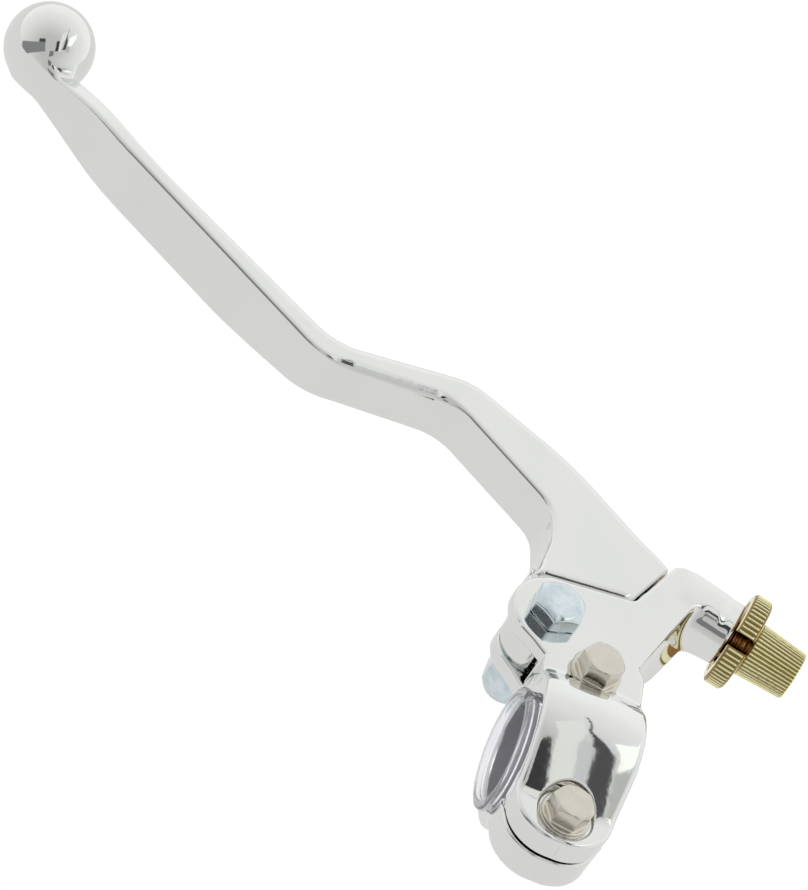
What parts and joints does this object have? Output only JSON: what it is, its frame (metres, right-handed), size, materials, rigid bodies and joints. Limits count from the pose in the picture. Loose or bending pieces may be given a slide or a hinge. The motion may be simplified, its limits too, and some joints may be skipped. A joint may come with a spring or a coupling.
{
  "type": "motorcycle clutch lever",
  "caption": "Polished handlebar clutch lever: dog-leg ball-end lever pivoting in a forked bracket with a two-piece bar clamp, split sleeve and brass cable adjuster.",
  "frame": {"origin": "centre of the handlebar clamp, on the bar's axis, midway along the clamp", "axes": "+X along the bar towards the middle of the motorcycle, +Y forward from the bar to the lever, +Z towards the heads of the clamp and pivot bolts"},
  "size_m": [0.1902, 0.1658, 0.0331],
  "materials": {
    "polished_aluminium": "hand-polished casting",
    "zinc_steel": "bright zinc plate with a blue cast",
    "nickel_steel": "satin nickel plate",
    "brass": "machined yellow brass",
    "bronze": "sintered bronze",
    "clear_plastic": "clear plastic with a grey-lilac tint",
    "nylon": "moulded nylon"
  },
  "bodies": {
    "bracket": {"bracket": "polished_aluminium", "lower_clamp": "polished_aluminium", "bar_sleeve": "clear_plastic", "front_clamp_bolt": "nickel_steel", "rear_clamp_bolt": "nickel_steel", "nut_washer": "zinc_steel", "pivot_nut": "zinc_steel", "pivot_nut_insert": "nylon", "pivot_bolt": "zinc_steel"},
    "lever": {"lever": "polished_aluminium", "pivot_bush": "bronze", "upper_thrust_washer": "zinc_steel", "lower_thrust_washer": "zinc_steel"},
    "adjuster": {"cable_adjuster": "brass"},
    "lock_wheel": {"lock_wheel": "brass"}
  },
  "joints": [
    {"name": "lever_pivot", "type": "hinge", "parent": "bracket", "child": "lever", "pos_m": [-0.0102, 0.0287, 0.0041], "axis": [0, 0, 1], "range_deg": [0, 35]},
    {"name": "adjuster_travel", "type": "slide", "parent": "bracket", "child": "adjuster", "axis": [0.9681, -0.2504, 0], "range_m": [0, 0.008]},
    {"name": "lock_wheel_turn", "type": "hinge", "parent": "bracket", "child": "lock_wheel", "pos_m": [0.0292, 0.0473, 0.0055], "axis": [0.9681, -0.2504, 0], "continuous": true}
  ]
}
